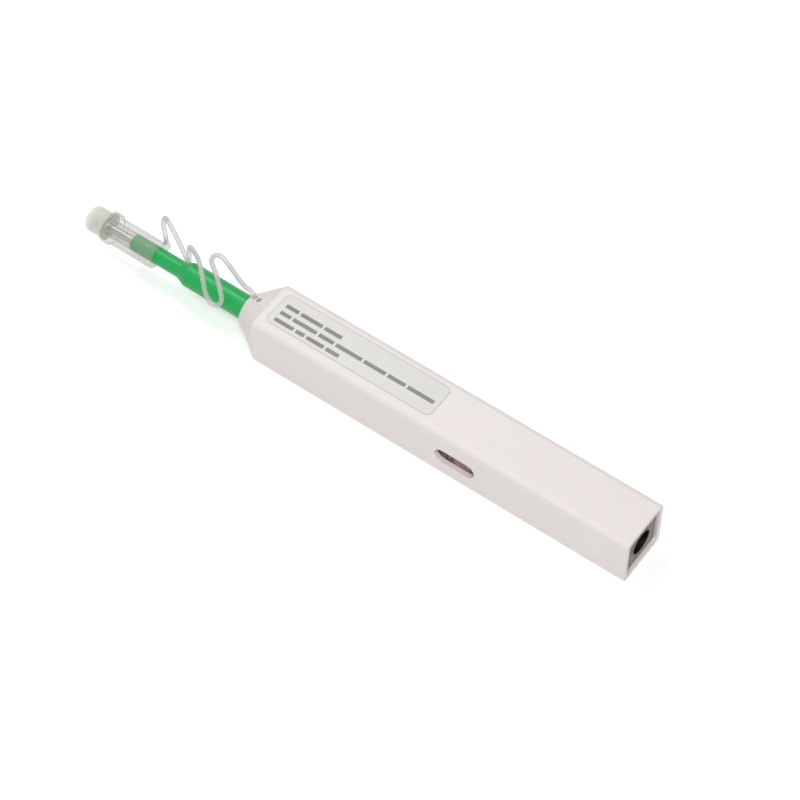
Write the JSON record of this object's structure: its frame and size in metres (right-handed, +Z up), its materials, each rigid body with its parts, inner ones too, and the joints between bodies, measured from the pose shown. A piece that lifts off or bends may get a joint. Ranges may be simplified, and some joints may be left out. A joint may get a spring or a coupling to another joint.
{
  "type": "fibre connector cleaning pen",
  "caption": "Push-type cleaner for fibre optic connectors: square casing, sliding green nose with a turning tip, and a tethered translucent guide cap with a flip lid.",
  "frame": {"origin": "centre of the pen's overall length and width, on the surface it lies on", "axes": "+X along the pen towards the casing's rear, +Y towards the side away from the window, +Z up through the labelled face"},
  "size_m": [0.194, 0.0209, 0.0181],
  "materials": {
    "casing_white": "moulded, satin",
    "label_grey": "laminated label",
    "print_dark": "printed",
    "plate_grey": "moulded, matte",
    "screw_black": "blackened",
    "chassis_grey": "moulded, matte",
    "steel": "ground",
    "reel_grey": "moulded",
    "thread_pink": "wound microfibre",
    "thread_white": "twisted microfibre",
    "nose_green": "moulded, glossy",
    "slide_white": "moulded acetal",
    "spring_steel": "drawn wire",
    "cap_clear": "moulded, translucent",
    "strap_clear": "extruded, translucent"
  },
  "bodies": {
    "casing": {"casing": "casing_white", "label": "label_grey", "label_print": "print_dark", "end_plate": "plate_grey", "end_screw": "screw_black", "chassis": "chassis_grey", "chassis_cover": "chassis_grey", "cover_screw_1": "steel", "cover_screw_2": "steel", "cover_screw_3": "steel", "cover_screw_4": "steel", "cover_screw_5": "steel", "supply_axle": "steel", "takeup_axle": "steel", "cam_pin": "steel", "ratchet_leaf": "spring_steel", "brake_washer": "slide_white", "return_spring": "spring_steel", "strap_rear": "strap_clear"},
    "nose": {"nose_tube": "nose_green", "carriage": "slide_white", "strap_front": "strap_clear"},
    "rotor": {"rotor": "slide_white", "tip_tube": "steel", "tip_spring": "spring_steel"},
    "tip": {"tip_head": "slide_white", "cleaning_strand": "thread_white"},
    "pinion": {"drive_pinion": "slide_white"},
    "takeup": {"takeup_reel": "reel_grey", "takeup_thread": "thread_pink"},
    "supply": {"supply_reel": "reel_grey", "supply_thread": "thread_pink"},
    "cap": {"guide_cap": "cap_clear"},
    "lid": {"cap_lid": "cap_clear"}
  },
  "joints": [
    {"name": "nose_push", "type": "slide", "parent": "casing", "child": "nose", "axis": [1, 0, 0], "range_m": [0, 0.008], "stiffness_N_per_m": 200, "springref_m": -0.003, "deforming": ["return_spring", "strap_rear"]},
    {"name": "tip_turn", "type": "hinge", "parent": "nose", "child": "rotor", "pos_m": [-0.02, 0, 0.009], "axis": [1, 0, 0], "range_deg": [0, 180]},
    {"name": "tip_press", "type": "slide", "parent": "rotor", "child": "tip", "axis": [1, 0, 0], "range_m": [0, 0.0006], "stiffness_N_per_m": 100, "springref_m": -0.0006, "deforming": ["tip_spring"]},
    {"name": "pinion_turn", "type": "hinge", "parent": "casing", "child": "pinion", "pos_m": [0.024, 0, 0], "axis": [0, 0, 1], "range_deg": [-92, 0]},
    {"name": "takeup_turn", "type": "hinge", "parent": "casing", "child": "takeup", "pos_m": [0.024, 0, 0], "axis": [0, 0, 1], "range_deg": [-92, 0]},
    {"name": "supply_turn", "type": "hinge", "parent": "casing", "child": "supply", "pos_m": [0.0402, 0, 0], "axis": [0, 0, 1], "range_deg": [-63, 0]},
    {"name": "cap_pull", "type": "slide", "parent": "nose", "child": "cap", "axis": [-1, 0, 0], "range_m": [0, 0.022], "deforming": ["strap_front"]},
    {"name": "lid_open", "type": "hinge", "parent": "cap", "child": "lid", "pos_m": [-0.0904, 0.0049, 0.009], "axis": [0, 0, -1], "range_deg": [0, 135]}
  ],
  "couplings": [
    {"joint": "tip_turn", "follows": "nose_push", "rad_per_m": 392.69},
    {"joint": "pinion_turn", "follows": "nose_push", "rad_per_m": -200},
    {"joint": "takeup_turn", "follows": "nose_push", "rad_per_m": -200},
    {"joint": "supply_turn", "follows": "nose_push", "rad_per_m": -135.5}
  ]
}
